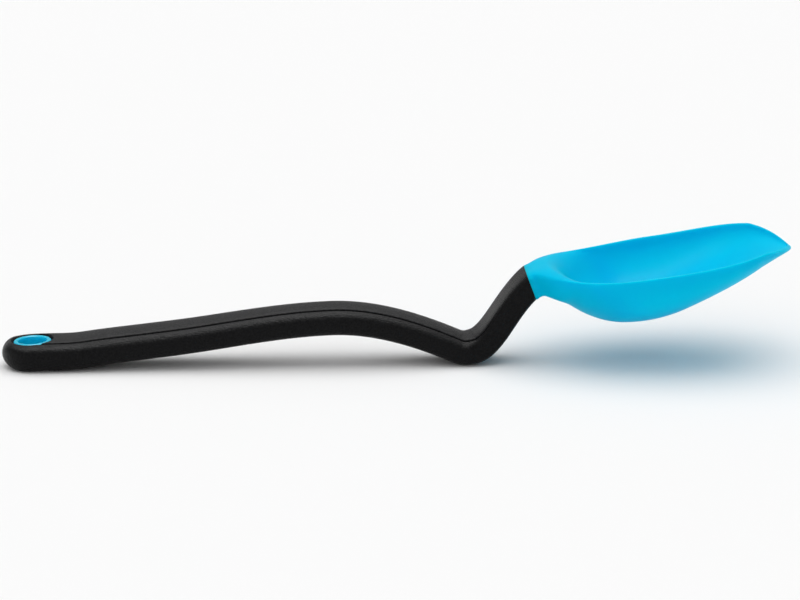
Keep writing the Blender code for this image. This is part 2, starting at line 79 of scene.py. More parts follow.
def curve_through(knots, steps=120):
    """A smooth line in the side view through (x, z, heading) knots.

    Each stretch is a cubic Bezier. Its arms are a third of the chord, and longer by a
    sixteenth of the turn squared, which keeps an arc round.
    """
    x, z, heading = np.array(knots).T
    heading = np.radians(heading)
    pull = np.hypot(np.diff(x), np.diff(z)) / 3.0 * (1.0 + np.diff(heading) ** 2 / 16.0)
    ends = np.stack([x, z], axis=1)
    arms = np.stack([np.cos(heading), np.sin(heading)], axis=1)
    leave = ends[:-1] + pull[:, None] * arms[:-1]
    arrive = ends[1:] - pull[:, None] * arms[1:]
    t = np.linspace(0.0, 1.0, steps, endpoint=False)
    weights = np.stack([(1 - t) ** 3, 3 * (1 - t) ** 2 * t, 3 * (1 - t) * t ** 2, t ** 3])
    points = np.einsum("kt,kpc->ptc", weights, np.stack([ends[:-1], leave, arrive, ends[1:]]))
    return np.vstack([points.reshape(-1, 2), ends[-1]])


print("one stretch has", len(curve_through([(0.0, 0.0, 0.0), (10.0, 0.0, 0.0)])), "points")

# %% Smooth steps, bulges and rounded edges


def smooth_step(share):
    """An S-shaped rise from 0 to 1: three times the square less twice the cube."""
    share = np.clip(share, 0.0, 1.0)
    return share * share * (3.0 - 2.0 * share)


def eased(x, places, values):
    """Values known at a few places, joined by smooth steps."""
    places, values = np.asarray(places), np.asarray(values)
    left = np.clip(np.searchsorted(places, x) - 1, 0, len(places) - 2)
    share = (x - places[left]) / (places[left + 1] - places[left])
    return values[left] + (values[left + 1] - values[left]) * smooth_step(share)


def bulge(share, power):
    """Height of a superellipse: (1 - share to a power) to one over that power."""
    return (1.0 - np.clip(np.abs(share), 0.0, 1.0) ** power) ** (1.0 / power)


def quarter_round(distance, radius):
    """Drop of a rounded edge at a distance inside it, with a quarter circle as its outline."""
    left = radius - np.clip(distance, 0.0, radius)
    return radius - np.sqrt(radius ** 2 - left ** 2)


print("half way out, a bulge of power 2 is", round(float(bulge(0.5, 2.0)), 3), "high")

# %% The handle's side line
TAIL_PLACE, HEEL_PLACE, GRIP_PLACE = 9.0, 30.0, 72.0
CREST_PLACE, BEND_PLACE, NECK_PLACE = 116.0, 163.35, 188.0
TAIL_HEIGHT, HEEL_HEIGHT, GRIP_HEIGHT, CREST_HEIGHT, NECK_HEIGHT = -0.2, 0.85, 6.2, 11.3, 23.9
TAIL_HEADING, HEEL_HEADING, GRIP_HEADING, CREST_HEADING = 4.0, 8.75, 8.55, 1.5
DESCENT_HEADING, RISE_HEADING, NECK_HEADING = -23.5, 43.0, 45.0
BEND_RADIUS = 13.8


def arc_point(heading):
    """Knot on the bend's arc: its place goes by the heading's sine, its height by 1 less the cosine."""
    turn = math.radians(heading)
    return BEND_PLACE + BEND_RADIUS * math.sin(turn), BEND_RADIUS * (1.0 - math.cos(turn)), heading


SOLE = curve_through([
    (0.0, TAIL_HEIGHT - TAIL_PLACE * math.tan(math.radians(TAIL_HEADING)), TAIL_HEADING),
    (TAIL_PLACE, TAIL_HEIGHT, TAIL_HEADING),
    (HEEL_PLACE, HEEL_HEIGHT, HEEL_HEADING),
    (GRIP_PLACE, GRIP_HEIGHT, GRIP_HEADING),
    (CREST_PLACE, CREST_HEIGHT, CREST_HEADING),
    arc_point(DESCENT_HEADING),
    (BEND_PLACE, 0.0, 0.0),
    arc_point(RISE_HEADING),
    (NECK_PLACE, NECK_HEIGHT, NECK_HEADING),
])
print("the sole's line has", len(SOLE), "points")

# %% Distance, heading and lean along the line
JOINT_TILT, JOINT_BLEND = 20.7, 9.0

SLOPE = np.gradient(SOLE, axis=0)
HEADING = np.arctan2(SLOPE[:, 1], SLOPE[:, 0])
TRAVEL = np.concatenate([[0.0], np.cumsum(np.hypot(*np.diff(SOLE, axis=0).T))])
HANDLE_END = TRAVEL[-1]
# Sections stand square to the line, and turn to the joint's own tilt over its last millimetres.
TOWARDS_JOINT = smooth_step((TRAVEL - HANDLE_END) / JOINT_BLEND + 1.0)
TILT = HEADING + (math.radians(JOINT_TILT) - HEADING) * TOWARDS_JOINT
print("the sole is", round(float(HANDLE_END), 1), "mm long from the tail to the joint")

# %% [markdown]
# ## Cross-sections of the handle
#
# A round bar would turn in a wet hand, so the handle has a flatter, crowned top over an oval
# sole, and it gets squarer towards the neck. A superellipse does all of that with one number:
# power 2 is an ellipse and power 6 is nearly a box. The widths, the thickness and the top's
# power are known at five places and eased between them. The sole's power changes only between
# the last two.

# %% Section sizes along the handle
SECTION_GRIP_PLACE, SECTION_NECK_PLACE = 50.0, 178.0
PLACES = (TAIL_PLACE, SECTION_GRIP_PLACE, CREST_PLACE, BEND_PLACE, SECTION_NECK_PLACE)
WIDTHS = (22.0, 20.5, 18.9, 19.3, 17.4)
THICKNESSES = (10.5, 10.8, 10.55, 10.4, 9.15)
BANDS = (13.7, 13.5, 12.1, 13.7, 15.2)
TOP_POWERS = (3.4, 2.3, 2.3, 2.3, 5.5)
UNDER_POWERS = (3.1, 6.0)
WIDEST_SHARE = 0.42
TAIL_ROUND, TAIL_TOP_ROUND, TAIL_SOLE_ROUND = 11.0, 5.0, 7.9
GROOVE_FADE = (176.0, 185.0)


def section(travel):
    """Frame and sizes of the handle's section at a distance along the sole.

    The section stands on the sole line, leans with it, and shrinks to nothing at the round tail
    on three quarter ellipses, one each for its width, its top and its sole.
    """
    x, z, heading, tilt = (np.interp(travel, TRAVEL, line) for line in (*SOLE.T, HEADING, TILT))
    tall = eased(x, PLACES, THICKNESSES) / np.cos(tilt - heading)
    shrink = [np.sqrt(1.0 - (1.0 - np.minimum(travel / radius, 1.0)) ** 2)
              for radius in (TAIL_ROUND, TAIL_TOP_ROUND, TAIL_SOLE_ROUND)]
    return SimpleNamespace(
        x=x, z=z, tilt=tilt, stand=tall * (1.0 - WIDEST_SHARE),
        half=0.5 * eased(x, PLACES, WIDTHS) * shrink[0],
        crown=tall * WIDEST_SHARE * shrink[1],
        belly=tall * (1.0 - WIDEST_SHARE) * shrink[2],
        band=0.5 * eased(x, PLACES, BANDS),
        top_power=eased(x, PLACES, TOP_POWERS),
        under_power=eased(x, PLACES[-2:], UNDER_POWERS),
        fade=eased(x, GROOVE_FADE, (0.0, 1.0)),
    )


def place(at, across, height):
    """Points at a distance across the handle and a height over its widest line."""
    lift = at.stand + height
    x = at.x - np.sin(at.tilt) * lift
    z = at.z + np.cos(at.tilt) * lift
    return np.stack(np.broadcast_arrays(x, across, z), axis=-1)


END = section(HANDLE_END)
print("the handle meets the spoon", round(2.0 * float(END.half), 1), "mm wide")

# %% From the tail's frame to the bench's
# The sole's line starts at the tail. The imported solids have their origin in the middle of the
# footprint on the bench, and the handle stands on two flats cut this deep into its sole.
LAND_DEPTH = 0.2
HEAD_LENGTH = 94.5

JOINT_TOP = place(END, 0.0, END.crown)
TAIL_TIP = place(section(0.0), 0.0, 0.0)
TAIL_END, LIP_END = cad_box[0][0] / MM, cad_box[1][0] / MM
SHIFT = np.array([LIP_END - JOINT_TOP[0] - HEAD_LENGTH, 0.0, -LAND_DEPTH])
print("joint top in the bench frame:", np.round(JOINT_TOP + SHIFT, 2))

# %% [markdown]
# ## From grids to closed skins
#
# Every piece here but the hang ring is a tube in the topologist's sense: rings of equal count,
# one after the other. Each ring runs over the top from the right edge to the left and back
# underneath, so a flat end can be closed by rungs between each top point and the one below it.
# That keeps even the hidden faces tidy, which a single many-sided face would not.

# %% Closing a tube of rings


def rungs(row):
    """Faces that close a flat end: quads between the top points of a ring and those below."""
    count = len(row)
    top = count // 2 + 1
    j = np.arange(1, top - 2)
    quads = np.stack([row[j], row[j + 1], row[count - j - 1], row[count - j]], axis=1)
    return quads.tolist() + [[row[0], row[1], row[-1]], [row[top - 2], row[top - 1], row[top]]]


def tube(rings, start=None, end=None):
    """Points and faces of a closed skin through rings, each end closed by a point or by rungs."""
    rows, count = rings.shape[:2]
    at = np.arange(rows * count).reshape(rows, count)
    beside = np.roll(at, -1, axis=1)
    faces = np.stack([at[:-1], beside[:-1], beside[1:], at[1:]], axis=-1).reshape(-1, 4).tolist()
    points = [rings.reshape(-1, 3)]
    tips = at.size
    for row, following, tip in ((at[0], beside[0], start), (at[-1], beside[-1], end)):
        if tip is None:
            faces += rungs(row)
        else:
            points.append(np.reshape(tip, (1, 3)))
            faces += np.stack([row, following, np.full(count, tips)], axis=1).tolist()
            tips += 1
    return np.vstack(points), faces


print("two rings of eight points close into", len(tube(np.zeros((2, 8, 3)))[1]), "faces")

# %% Making a mesh and cutting it
WELD = 1e-6


def add_mesh(name, points, faces, crease=50.0):
    """An object whose place is in its mesh, smooth except where faces meet at more than the crease."""
    mesh = bpy.data.meshes.new(name)
    mesh.from_pydata(((points + SHIFT) * MM).tolist(), [], faces)
    work = bmesh.new()
    work.from_mesh(mesh)
    bmesh.ops.remove_doubles(work, verts=work.verts, dist=WELD)
    bmesh.ops.recalc_face_normals(work, faces=work.faces)
    work.to_mesh(mesh)
    work.free()
    mesh.shade_smooth()
    mesh.set_sharp_from_angle(angle=math.radians(crease))
    made = bpy.data.objects.new(name, mesh)
    bpy.context.scene.collection.objects.link(made)
    print(name, len(mesh.vertices), "points")
    return made


def cut(target, cutter):
    """Takes the cutter out of the target and removes the cutter."""
    boolean = target.modifiers.new("cut", "BOOLEAN")
    boolean.operation = "DIFFERENCE"
    boolean.solver = "MANIFOLD"
    boolean.object = cutter
    depsgraph = bpy.context.evaluated_depsgraph_get()
    mesh = bpy.data.meshes.new_from_object(target.evaluated_get(depsgraph))
    target.modifiers.clear()
    target.data = mesh
    bpy.data.objects.remove(cutter)


print("points closer than", round(WELD / MM, 4), "mm become one")

# %% [markdown]
# ## The soft grip
#
# A soft rubber-like plastic is shot round the spine in a second mould. Its open top leaves a
# channel for the spine, and the lips of that channel are rounded, so a thin dark groove runs
# along each side of the band. The columns of the grid follow the groove, which keeps it crisp
# without a dense mesh everywhere. The hang hole is cut afterwards, with a round cutter.

# %% Sizes of the hang hole, the channel and the groove
RING_PLACE = 10.8
RING_BORE, RING_DIAMETER, SOLE_BORE = 10.2, 13.3, 9.7
RING_GAP, HOLE_ROUND = 0.45, 0.6
RING_SINK, RING_SOLE_SINK = 0.55, 1.8
HOLE_RADIUS = RING_DIAMETER / 2.0 + RING_GAP
GROOVE_WIDTH, NECK_GROOVE_WIDTH = 0.75, 0.1
LIP_ROUND, NECK_LIP_ROUND = 0.3, 0.12
CORE_DEPTH, ROOT_SHARE = 5.8, 0.72
print("the hang hole is", 2.0 * HOLE_RADIUS, "mm across in the top")

# %% Where the handle's rings stand
TAIL_ROWS = 49
HOLE_MARGIN, HOLE_STEP = 1.0, 0.35
FREE_STEP, TURN_STEP = 1.2, 2.2


def handle_stations():
    """Distances along the sole of the rings of points.

    They crowd at the tip as the cosine of equal turns does, and stand a small step apart beside
    the hang hole. After it they are equal in effort: distance over one step, plus turn over another.
    """
    tail = TAIL_ROUND * (1.0 - np.cos(np.linspace(0.0, math.pi / 2, TAIL_ROWS)))[1:-1]
    ring = np.arange(TAIL_ROUND, RING_PLACE + HOLE_RADIUS + HOLE_MARGIN, HOLE_STEP)
    turn = np.concatenate([[0.0], np.cumsum(np.abs(np.diff(TILT)))])
    effort = TRAVEL / FREE_STEP + turn / math.radians(TURN_STEP)
    first, last = np.interp((ring[-1], HANDLE_END), TRAVEL, effort)
    rest = np.interp(np.linspace(first, last, int(last - first) + 1), effort, TRAVEL)
    return np.concatenate([tail, ring, rest[1:]])


print("rings along the handle:", len(handle_stations()))

# %% The grip's rings
LIP_COLUMNS = np.array([0.04, 0.1, 0.17, 0.25, 0.34, 0.44, 0.56, 0.7, 0.9])
LIP_SPREAD = 0.8
WALL_COLUMNS, FLOOR_COLUMNS, FLANK_COLUMNS = 7, 34, 14


def channel_shares():
    """Columns inside the channel, from its right edge to its left, with one on each root."""
    wall = np.linspace(1.0, ROOT_SHARE, WALL_COLUMNS)
    floor = np.linspace(ROOT_SHARE, -ROOT_SHARE, FLOOR_COLUMNS)[1:-1]
    return np.concatenate([wall, floor, -wall[::-1]])


def grip_rings(travel):
    """Rings of the grip: flanks, lips and channel over the top, an oval sole underneath.

    Top and sole are half superellipses of their own heights. The lips and the hole's edge drop
    by a quarter circle, and the channel's walls run straight down to its floor. Behind the
    middle of the hang hole there is no channel, and its columns lie on the top.
    """
    at = section(travel[:, None])
    beside_ring = section(RING_PLACE)
    gap = GROOVE_WIDTH + (NECK_GROOVE_WIDTH - GROOVE_WIDTH) * at.fade
    lip = LIP_ROUND + (NECK_LIP_ROUND - LIP_ROUND) * at.fade
    behind = travel[:, None] < RING_PLACE
    scale = np.where(behind, at.half / beside_ring.half, 1.0)
    edge = np.where(behind, (beside_ring.band + 0.5 * GROOVE_WIDTH) * scale, at.band + 0.5 * gap)
    from_ring = travel[:, None] - RING_PLACE

    room = LIP_SPREAD * (at.half - edge) / LIP_COLUMNS[-1]
    lips = edge + LIP_COLUMNS * (np.minimum(1.0, room) * np.where(behind, scale, 1.0))
    channel = edge * channel_shares()
    turn = np.arccos((lips[:, -1:] / at.half) ** (0.5 * at.top_power))
    flank = turn * np.linspace(0.0, 1.0, FLANK_COLUMNS, endpoint=False)

    def top(across):
        """Height of the top skin, with its edges rounded down to the channel and to the hole."""
        beside_band = np.where(behind, np.inf, np.abs(across) - edge)
        beside_hole = np.hypot(from_ring, across) - HOLE_RADIUS
        drop = np.maximum(quarter_round(beside_band, lip), quarter_round(beside_hole, HOLE_ROUND))
        return at.crown * bulge(across / at.half, at.top_power) - drop

    floor = at.crown - CORE_DEPTH - RING_GAP
    down = np.clip((1.0 - np.abs(channel / edge)) / (1.0 - ROOT_SHARE), 0.0, 1.0)
    inside = np.where(behind, top(channel), top(edge) + (floor - top(edge)) * down)

    flank_y = at.half * np.cos(flank) ** (2.0 / at.top_power)
    flank_h = at.crown * np.sin(flank) ** (2.0 / at.top_power)
    across = np.hstack([flank_y, lips[:, ::-1], channel, -lips, -flank_y[:, ::-1]])
    height = np.hstack([flank_h, top(lips[:, ::-1]), inside, top(lips), flank_h[:, ::-1]])

    sweep = np.linspace(math.pi, 2.0 * math.pi, across.shape[1])[1:-1]
    side, lift = np.cos(sweep), np.sin(sweep)
    sole_y = at.half * np.sign(side) * np.abs(side) ** (2.0 / at.under_power)
    sole_h = -at.belly * np.abs(lift) ** (2.0 / at.under_power)
    sole_h = sole_h + quarter_round(np.hypot(from_ring, sole_y) - 0.5 * SOLE_BORE, LIP_ROUND)
    return place(at, np.hstack([across, sole_y]), np.hstack([height, sole_h]))


print("points in each ring:", grip_rings(handle_stations()).shape[1])

# %% A round cutter
DRILL_SIDES = 128


def drill(name, at, radius, bottom, top):
    """A closed cylinder about a section's upright line, between two heights, for cutting."""
    turn = np.linspace(0.0, 2.0 * math.pi, DRILL_SIDES, endpoint=False)
    up = np.array([-math.sin(at.tilt), 0.0, math.cos(at.tilt)])
    along = np.array([math.cos(at.tilt), 0.0, math.sin(at.tilt)])
    sideways = np.array([0.0, 1.0, 0.0])
    middle = place(at, 0.0, 0.0)
    circle = radius * (np.cos(turn)[:, None] * along + np.sin(turn)[:, None] * sideways)
    rings = np.stack([middle + circle + up * bottom, middle + circle + up * top])
    return add_mesh(name, *tube(rings, middle + up * bottom, middle + up * top))


print("a cutter has", DRILL_SIDES, "sides")

# %% The finished grip
THROUGH = 20.0

grip_points, grip_faces = tube(grip_rings(handle_stations()), start=TAIL_TIP)
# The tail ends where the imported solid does, and the sole is cut flat where it meets the bench.
grip_points[:, 0] = np.maximum(grip_points[:, 0], TAIL_END - SHIFT[0])
grip_points[:, 2] = np.maximum(grip_points[:, 2], LAND_DEPTH)
grip = add_mesh("grip_overmould", grip_points, grip_faces)
ring_section = section(RING_PLACE)
seat_floor = RING_SOLE_SINK - RING_GAP - ring_section.belly
cut(grip, drill("seat_cutter", ring_section, HOLE_RADIUS, seat_floor, THROUGH))
cut(grip, drill("bore_cutter", ring_section, 0.5 * SOLE_BORE, -THROUGH, THROUGH))
print("grip faces after the hole:", len(grip.data.polygons))

# %% [markdown]
# ## The spine and its band
#
# The spine is glass-filled nylon, stiff enough to carry a loaded spoon. Only its crowned top
# shows. Its tail end wraps round the hang ring in a hollow arc, so the rows of this grid
# start on that arc and straighten out along the handle. Past the joint it narrows to a flat
# tongue that the silicone is moulded round.

# %% The spine's rings
BAND_EDGE, BAND_PROUD = 0.35, 0.12
EDGE_COLUMNS = np.array([0.0, 0.03, 0.07, 0.12, 0.18, 0.26, 0.36, 0.5])
ROOT_COLUMNS, MIDDLE_COLUMNS = 6, 26
ROW_CLEARANCE = 0.3


def band_shares(half):
    """Columns across the band as shares of its half width: close at the edges, one on each root."""
    edge = 1.0 - EDGE_COLUMNS / half
    wall = np.linspace(edge[-1], ROOT_SHARE, ROOT_COLUMNS)[1:]
    middle = np.linspace(ROOT_SHARE, -ROOT_SHARE, MIDDLE_COLUMNS)[1:-1]
    side = np.concatenate([edge, wall])
    return np.concatenate([side, middle, -side[::-1]])


def spine_rings():
    """Rings of the spine, and their columns as shares of the band's half width.

    The band is the handle's own superellipse, raised a little, less a quarter circle at its
    edges. Under it the walls taper straight down to the root. Each column starts on the hang
    hole's circle, and its steps stretch or shrink so that all columns end together at the joint.
    """
    start = section(RING_PLACE + HOLE_RADIUS)
    half = start.band - 0.5 * GROOVE_WIDTH
    share = band_shares(half)
    first = RING_PLACE + np.sqrt(HOLE_RADIUS ** 2 - (half * share) ** 2)
    run = HANDLE_END - RING_PLACE - HOLE_RADIUS
    stations = handle_stations() - RING_PLACE - HOLE_RADIUS
    steps = np.concatenate([EDGE_COLUMNS, stations[stations > EDGE_COLUMNS[-1] + ROW_CLEARANCE]])
    travel = first + steps[:, None] / run * (HANDLE_END - first)
    at = section(travel)
    half = at.band - 0.5 * (GROOVE_WIDTH + (NECK_GROOVE_WIDTH - GROOVE_WIDTH) * at.fade)
    across = half * share
    round_off = BAND_EDGE + (NECK_LIP_ROUND - BAND_EDGE) * at.fade
    beside = np.minimum(half - np.abs(across), np.hypot(travel - RING_PLACE, across) - HOLE_RADIUS)
    crown = at.crown * bulge(across / at.half, at.top_power) + BAND_PROUD * (1.0 - at.fade)
    top = crown - quarter_round(beside, round_off)
    up_wall = np.clip((np.abs(share) - ROOT_SHARE) / (1.0 - ROOT_SHARE), 0.0, 1.0)
    root = at.crown - CORE_DEPTH
    under = root + (crown - round_off - root) * up_wall
    rows = [place(at, across, top), place(at, across, under)[:, -2:0:-1]]
    return np.concatenate(rows, axis=1), share


body, band_share = spine_rings()
print("the spine's body has", body.shape[0], "rings of", body.shape[1], "points")

# %% The tongue, and the finished spine
TONGUE_LENGTH, TONGUE_HEADING, TONGUE_TURN_SHARE = 12.5, -9.0, 0.3
TONGUE_WIDTHS, TONGUE_THICKNESSES, TONGUE_POWER = (11.0, 9.0), (3.6, 2.2), 6.0
POCKET_SPARE, POCKET_RUN_IN = 0.3, 4.0


def tongue_rings(share, spare=0.0):
    """Rings of the tongue: a rounded slab that turns from the joint's plane to its own heading.

    Each ring is a superellipse, whose width and thickness fall evenly towards the tip. With a
    spare it is that much larger all round, and starts a few spares before the joint, which
    makes it the cutter of its own pocket.
    """
    along = np.array([0.0, TONGUE_TURN_SHARE, 1.0])
    heading, joint = math.radians(TONGUE_HEADING), math.radians(JOINT_TILT)
    tilt = joint + (heading - joint) * np.minimum(along / TONGUE_TURN_SHARE, 1.0)
    root = place(END, 0.0, END.crown - 0.5 * CORE_DEPTH)
    reach = along * TONGUE_LENGTH + np.where(along > 0.0, spare, -POCKET_RUN_IN * spare)
    half = 0.5 * (TONGUE_WIDTHS[0] + (TONGUE_WIDTHS[1] - TONGUE_WIDTHS[0]) * along) + spare
    tall = 0.5 * (TONGUE_THICKNESSES[0] + (TONGUE_THICKNESSES[1] - TONGUE_THICKNESSES[0]) * along) + spare
    both = np.concatenate([share, share[-2:0:-1]])
    side = np.concatenate([np.ones(len(share)), -np.ones(len(share) - 2)])
    height = tall[:, None] * bulge(both, TONGUE_POWER) * side
    x = (root[0] + reach * math.cos(heading))[:, None] - np.sin(tilt)[:, None] * height
    z = (root[2] + reach * math.sin(heading))[:, None] + np.cos(tilt)[:, None] * height
    return np.stack(np.broadcast_arrays(x, half[:, None] * both, z), axis=-1)


spine = add_mesh("spine", *tube(np.concatenate([body, tongue_rings(band_share)])))

# %% [markdown]
# ## The silicone spoon
#
# The spoon is one soft moulding. Seen from above it swells from a square neck to its widest
# place and is blunt at the lip. Seen from the side it has three lines: the deck that the rim
# lies on, the floor of the bowl, and the keel underneath. One ring at each place along X
# joins them: rim and bowl over the top, hull below. A few passes of averaging across the rim
# then ease its corners, as the mould maker's stone does.

# %% The spoon's outline from above
HEAD_WIDTH, WIDEST_PLACE, HEEL_LENGTH, LIP_PLACE = 59.2, 47.7, 46.4, 82.3
TOE_POWER, TOE_ROUND, TOE_BLUNTNESS, NECK_MERGE = 4.2, 1.25, 0.04, 4.0


def half_width(x, inset=0.0):
    """Half width in plan: a superellipse for the toe, an ellipse merged with the neck for the heel.

    The merge adds the two half widths as powers and takes the root, so the larger one wins
    smoothly. The toe is also narrowed by a second factor that never falls to nothing, so that
    the middle of the lip ends blunt and round.
    """
    widest = HEAD_WIDTH * 0.5 - inset
    toe = np.clip((x - WIDEST_PLACE) / (HEAD_LENGTH - WIDEST_PLACE - inset), 0.0, 1.0)
    left = 1.0 - toe ** TOE_POWER
    blunt = (left + TOE_BLUNTNESS) / (1.0 + TOE_BLUNTNESS)
    front = widest * np.sqrt(left) * blunt ** (1.0 / TOE_ROUND - 0.5)
    heel = np.clip((WIDEST_PLACE - x) / HEEL_LENGTH, 0.0, 1.0)
    neck = END.half - inset
    back = ((widest * np.sqrt(1.0 - heel ** 2)) ** NECK_MERGE + neck ** NECK_MERGE) ** (1.0 / NECK_MERGE)
    return np.where(x > WIDEST_PLACE, front, np.minimum(back, widest))


print("half width where the lip starts:", round(float(half_width(LIP_PLACE)), 2))

# %% The spoon's lines from the side
# A knot is a place and a height from the top of the joint, and a heading.
DECK_CREST, DECK_HEEL, DECK_WAIST = (7.5, 2.4, 7.5), (16.4, 1.4, 0.0), (48.0, 4.9, 7.6)
DECK_NECK_HEADING, DECK_LIP_HEIGHT, DECK_LIP_HEADING, LIP_DIP = 30.0, 11.0, 10.2, 5.6
KEEL_ARCH, KEEL_HEEL, KEEL_LOW = (6.9, -7.8, -7.0), (18.1, -13.5, -29.8), (34.5, -18.2, 0.0)
KEEL_TOE, KEEL_LIP = (55.8, -13.4, 26.1), (80.5, 0.7, 33.5)
KEEL_NECK_HEADING, KEEL_END_HEADING, LIP_THICKNESS = 20.0, 8.0, 0.7
HEEL_WALL, LOW_WALL, TOE_WALL, LIP_WALL = 6.0, 2.6, 2.5, 1.9
FLOOR_HEEL_HEADING = -44.0
RIM_WIDTH = 1.2


def raised(knot, wall, heading=None):
    """A keel knot moved up by the wall over it, to lie on the bowl's floor."""
    return knot[0], knot[1] + wall, knot[2] if heading is None else heading


LEAN = (END.crown + END.belly) * np.array([math.sin(END.tilt), -math.cos(END.tilt)])
LIP_RISE = (HEAD_LENGTH - LIP_PLACE) * math.tan(math.radians(DECK_LIP_HEADING))
LIP_HEIGHT = DECK_LIP_HEIGHT + LIP_RISE - LIP_DIP
DECK = curve_through([
    (0.0, 0.0, DECK_NECK_HEADING), DECK_CREST, DECK_HEEL, DECK_WAIST,
    (LIP_PLACE, DECK_LIP_HEIGHT, DECK_LIP_HEADING),
    (HEAD_LENGTH, DECK_LIP_HEIGHT + LIP_RISE, DECK_LIP_HEADING),
])
KEEL = curve_through([
    (*LEAN, KEEL_NECK_HEADING), KEEL_ARCH, KEEL_HEEL, KEEL_LOW, KEEL_TOE, KEEL_LIP,
    (HEAD_LENGTH, LIP_HEIGHT - LIP_THICKNESS, KEEL_END_HEADING),
])
FLOOR = curve_through([
    (*DECK_CREST[:2], -DECK_CREST[2]),
    raised(KEEL_HEEL, HEEL_WALL, FLOOR_HEEL_HEADING),
    raised(KEEL_LOW, LOW_WALL), raised(KEEL_TOE, TOE_WALL), raised(KEEL_LIP, LIP_WALL),
    (HEAD_LENGTH - RIM_WIDTH, LIP_HEIGHT, KEEL_END_HEADING),
])
print("lip height over the joint:", round(LIP_HEIGHT, 2))

# %% The rim's height and the bowl's depth
LIP_MIDDLE_ROUND = 2.5
CREST_RADIUS = 27.8
BOWL_POWER = 2.3
LEAST_HALF = 0.01


def deck_height(x):
    """Height of the rim's line, which dips with the narrowing width towards the middle of the lip.

    The two slopes of the dip meet in a hyperbola, so the middle of the lip is round.
    """
    start = np.hypot(half_width(LIP_PLACE), LIP_MIDDLE_ROUND) - LIP_MIDDLE_ROUND
    left = np.hypot(half_width(x), LIP_MIDDLE_ROUND) - LIP_MIDDLE_ROUND
    return np.interp(x, *DECK.T) - LIP_DIP * np.where(x > LIP_PLACE, 1.0 - left / start, 0.0)


def bowl_depth(x, across, inner):
    """Depth of the bowl under the deck: the side view's depth times a superellipse across.

    Behind the widest place the depth is read further back off the middle, by the sagitta of the
    crest's circle, so that the back edge of the bowl is round in plan.
    """
    behind = 1.0 - smooth_step((x - DECK_HEEL[0]) / (WIDEST_PLACE - DECK_HEEL[0]))
    back = x - behind * across ** 2 / (2.0 * CREST_RADIUS)
    open_here = (back > DECK_CREST[0]) & (back < HEAD_LENGTH - RIM_WIDTH)
    middle = np.where(open_here, deck_height(back) - np.interp(back, *FLOOR.T), 0.0)
    return np.maximum(middle, 0.0) * bulge(across / np.maximum(inner, LEAST_HALF), BOWL_POWER)


deepest = bowl_depth(KEEL_LOW[0], 0.0, 0.5 * HEAD_WIDTH)
print("the bowl is", round(float(deepest), 1), "mm deep over the keel's lowest place")

# %% The spoon's rings
RIM_ROUND, SHOULDER_REACH = 0.5, 10.0
SHOULDER_POWER, HULL_POWER = 2.5, 2.0
LAND_SHARES = np.array([0.0, 0.02, 0.06, 0.12, 0.2, 0.3, 0.42, 0.55, 0.68, 0.8, 0.9])
BOWL_COLUMNS, EDGE_CROWDING = 56, 1.3


def head_rings(x):
    """Rings of the spoon: rim and bowl over the widest line, hull under it.

    A ring stands on the straight line from the keel to the deck. Its top is a superellipse less
    the bowl's depth, and its hull is another. The powers and the widest line's height run from
    the handle's at the joint to the rim's own over the neck.
    """
    x = x[:, None]
    blend = smooth_step(x / DECK_HEEL[0])
    low = x + LEAN[0] * (1.0 - blend)
    top = np.stack([x, deck_height(x)], axis=-1)
    keel = np.stack([low, np.interp(low, *KEEL.T)], axis=-1)
    tall = np.linalg.norm(top - keel, axis=-1)
    up = (top - keel) / tall[..., None]
    crown = np.minimum(tall * WIDEST_SHARE + (RIM_ROUND - tall * WIDEST_SHARE) * blend, tall * 0.5)
    top_power = TOP_POWERS[-1] + (SHOULDER_POWER - TOP_POWERS[-1]) * smooth_step(x / SHOULDER_REACH)
    hull_power = UNDER_POWERS[1] + (HULL_POWER - UNDER_POWERS[1]) * blend
    half = half_width(x)
    inner_end = HEAD_LENGTH - RIM_WIDTH
    inner = np.where(x < inner_end, half_width(np.minimum(x, inner_end), RIM_WIDTH), 0.0)

    sweep = 0.5 * math.pi * (1.0 - np.linspace(0.0, 1.0, BOWL_COLUMNS) ** EDGE_CROWDING)
    bowl = inner * np.sin(sweep)
    land = half - (half - inner) * LAND_SHARES
    right = np.hstack([land, bowl])
    across = np.hstack([right, -right[:, -2::-1]])
    height = crown * bulge(across / half, top_power) - bowl_depth(x, across, inner)
    turn = np.linspace(math.pi, 2.0 * math.pi, across.shape[1])[1:-1]
    side, lift = np.cos(turn), np.sin(turn)
    hull_y = half * np.sign(side) * np.abs(side) ** (2.0 / hull_power)
    hull_h = -(tall - crown) * np.abs(lift) ** (2.0 / hull_power)
    across = np.hstack([across, hull_y])
    height = np.hstack([height, hull_h])
    middle = top - up * crown[..., None]
    points = middle + up * height[..., None]
    return np.stack([points[..., 0], across, points[..., 1]], axis=-1)


print("columns from the edge to the middle:", len(LAND_SHARES) + BOWL_COLUMNS)

# %% The eased rim and the places of the rings
RIM_PASSES, RIM_PULL = 14, 0.5
EASED_COLUMNS, FADING_COLUMNS = 4.0, 6.0
HEAD_START, TOE_RUN = 0.03, 8.0
NECK_ROWS, BOWL_ROWS, TOE_ROWS = 56, 76, 64


def eased_rim(rings):
    """Averages each point near the rim with its two neighbours across, in small passes."""
    count = rings.shape[1]
    column = np.arange(count)
    corner = len(LAND_SHARES)
    last = 2 * (corner + BOWL_COLUMNS) - 2
    near = np.minimum(np.abs(column - corner), np.abs(column - (last - corner)))
    weight = RIM_PULL * smooth_step(1.0 - (near - EASED_COLUMNS) / FADING_COLUMNS)[None, :, None]
    for _ in range(RIM_PASSES):
        beside = 0.5 * (np.roll(rings, 1, axis=1) + np.roll(rings, -1, axis=1))
        rings = rings + weight * (beside - rings)
    return rings


